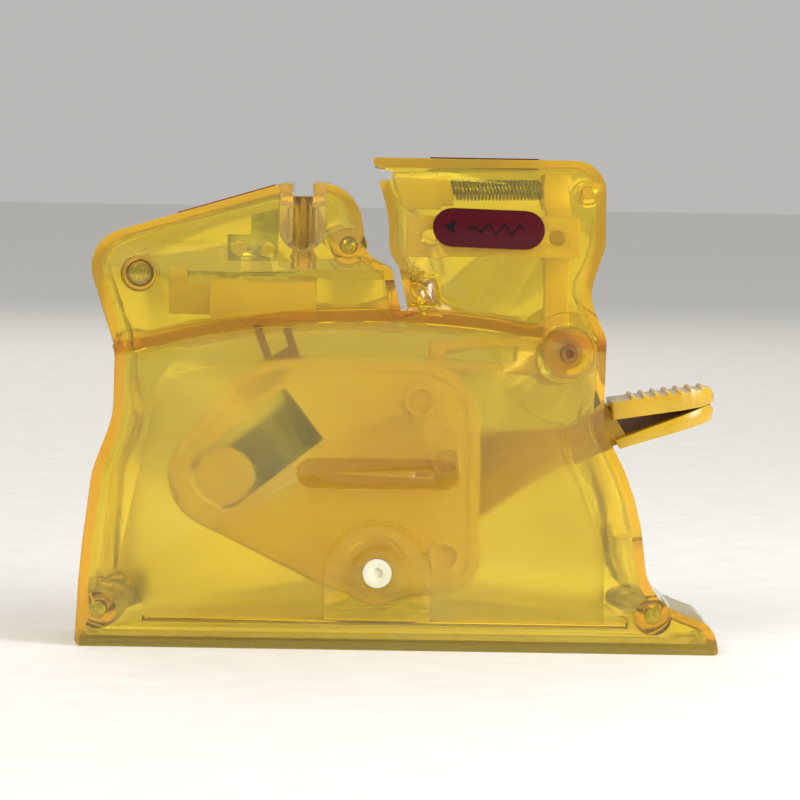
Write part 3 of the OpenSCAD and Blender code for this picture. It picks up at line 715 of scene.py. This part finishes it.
startX, endX = labelMark["thread"]
bpy.ops.object.select_all(action='DESELECT')
bpy.ops.mesh.primitive_grid_add(x_subdivisions=labelMark["steps"], y_subdivisions=1, size=1)
thread = bpy.context.active_object
thread.scale = ((endX - startX) * mm, labelMark["width"] * mm, 1)
thread.rotation_euler = (math.pi / 2, 0, 0)
thread.location = ((startX + endX) / 2 * mm, labelFront, labelMiddle.z)
placeInMesh(thread)
for vertex in thread.data.vertices:
    share = (vertex.co.x / mm - startX) / (endX - startX)
    swell = min(1, 3 * share)       # the wave grows over the first third
    vertex.co.z += labelMark["wave"] * mm * math.sin(share * labelMark["turns"] * 2 * math.pi) * swell
inkThickness(thread)
marks = joinPieces([arrow, thread], "labelMarks")
pickOnly(marks)
openAll()
bpy.ops.transform.rotate(value=-math.radians(labelMark["tilt"]), orient_axis='Y',
                         center_override=tuple(labelMiddle))
bpy.ops.mesh.select_all(action='DESELECT')
bpy.ops.object.mode_set(mode='OBJECT')
finishPiece(marks, "case", "maroon_print", blackInk)
print("labels done", len(marks.data.polygons))


# ---------- stage, light and camera ----------

bpy.ops.mesh.primitive_plane_add(size=6, location=(0, 0, 0))
table = bpy.context.active_object
table.name = "table"
tableLook, tree, output, where = startMaterial("palePaperTable")
fibre = addNode(tree, 'ShaderNodeTexNoise', (-700, 0),
                {'Scale': perMetre(6), 'Detail': 4.0}, {'Vector': where})
paper = ramp(tree, (-450, 0), fibre.outputs['Fac'],
             [(0.3, hexColour("#ECEAE6")), (0.7, hexColour("#F2F0EC"))])
surface = addNode(tree, 'ShaderNodeBsdfPrincipled', (0, 0), {'Roughness': 0.75, 'Specular IOR Level': 0.2},
                  {'Base Color': paper.outputs['Color']})
tree.links.new(surface.outputs['BSDF'], output.inputs['Surface'])
table.data.materials.append(tableLook)

studio = {
    "keyLight": {"place": (-0.42, -0.50, 0.55), "size": 0.42, "power": 3.1, "tone": "#FFF6EA"},
    "fillLight": {"place": (0.55, -0.45, 0.30), "size": 0.50, "power": 1.1, "tone": "#F4F8FF"},
    "backLight": {"place": (-0.10, 0.60, 0.50), "size": 0.60, "power": 1.2, "tone": "#FFFDF8"},
    "edgeLight": {"place": (0.34, -0.16, 0.16), "size": 0.2, "power": 1.5, "tone": "#FFFFFF"},
}
middle = (cadBox[0] + cadBox[1]) / 2
for name, light in studio.items():
    bpy.ops.object.light_add(type='AREA', location=light["place"])
    lamp = bpy.context.active_object
    lamp.name = name
    lamp.data.shape = 'SQUARE'
    lamp.data.size = light["size"]
    lamp.data.energy = light["power"]
    lamp.data.color = hexColour(light["tone"])[:3]
    lamp.rotation_euler = (middle - Vector(light["place"])).to_track_quat('-Z', 'Y').to_euler()

world = bpy.data.worlds.new("studioAir")
bpy.context.scene.world = world
world.use_nodes = True
world.node_tree.nodes.clear()
air = addNode(world.node_tree, 'ShaderNodeBackground', (0, 0),
              {'Color': hexColour("#F4F3F0"), 'Strength': 0.54})
addNode(world.node_tree, 'ShaderNodeOutputWorld', (200, 0), {}, {'Surface': air.outputs['Background']})

viewer = {"place": (-0.0036, -0.477, 0.0619), "lens": 175, "sensor": 36, "roll": 0.95, "clip": (0.01, 20)}
bpy.ops.object.camera_add(location=viewer["place"])
camera = bpy.context.active_object
camera.name = "viewer"
camera.data.lens = viewer["lens"]
camera.data.sensor_width = viewer["sensor"]
camera.data.clip_start, camera.data.clip_end = viewer["clip"]
look = (middle - Vector(viewer["place"])).to_track_quat('-Z', 'Y')
camera.rotation_euler = (look.to_matrix() @ Matrix.Rotation(math.radians(viewer["roll"]), 3, 'Z')).to_euler()
bpy.context.scene.camera = camera
print("stage done")
